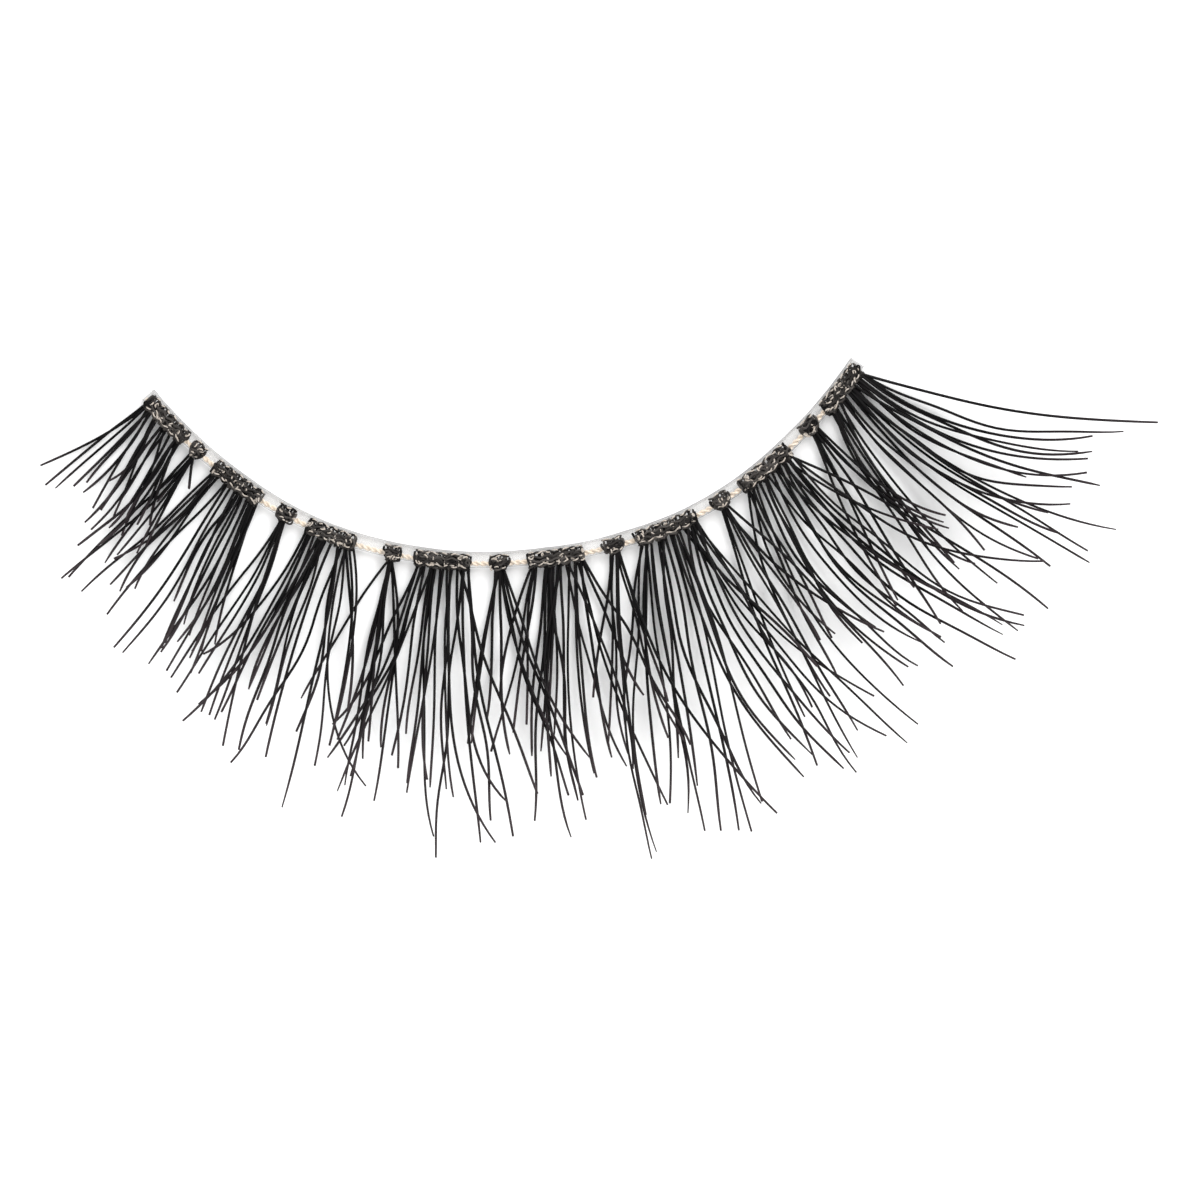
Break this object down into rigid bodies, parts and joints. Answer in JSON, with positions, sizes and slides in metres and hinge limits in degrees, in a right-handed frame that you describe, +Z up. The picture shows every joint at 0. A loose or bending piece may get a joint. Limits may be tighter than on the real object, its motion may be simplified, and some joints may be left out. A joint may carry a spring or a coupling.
{
  "type": "false eyelash strip",
  "caption": "Curved false eyelash strip: a thin clear band, a tied thread, and wide and narrow clusters of black lashes that fan out and curl up, longer at the outer end.",
  "frame": {"origin": "middle of the band's underside, the face that is glued to the eyelid, lying on the surface", "axes": "+X along the strip from its inner, short-haired end to its outer, long-haired end; +Y across the band towards the eyelid, away from the lashes; +Z up off the surface, the way the lashes curl"},
  "size_m": [0.0443, 0.0193, 0.0059],
  "materials": {
    "clear_film": "thin, milky clear film, satin",
    "cream_thread": "fine twisted cream thread",
    "black_lash": "soft black synthetic fibre with a slight sheen, wound with cream thread at the knots"
  },
  "bodies": {
    "root": {"clear_band": "clear_film", "tying_thread": "cream_thread", "wide_cluster_1": "black_lash", "wide_cluster_2": "black_lash", "wide_cluster_3": "black_lash", "wide_cluster_4": "black_lash", "wide_cluster_5": "black_lash", "wide_cluster_6": "black_lash", "wide_cluster_7": "black_lash", "wide_cluster_8": "black_lash", "narrow_cluster_1": "black_lash", "narrow_cluster_2": "black_lash", "narrow_cluster_3": "black_lash", "narrow_cluster_4": "black_lash", "narrow_cluster_5": "black_lash", "narrow_cluster_6": "black_lash", "narrow_cluster_7": "black_lash"}
  },
  "joints": []
}
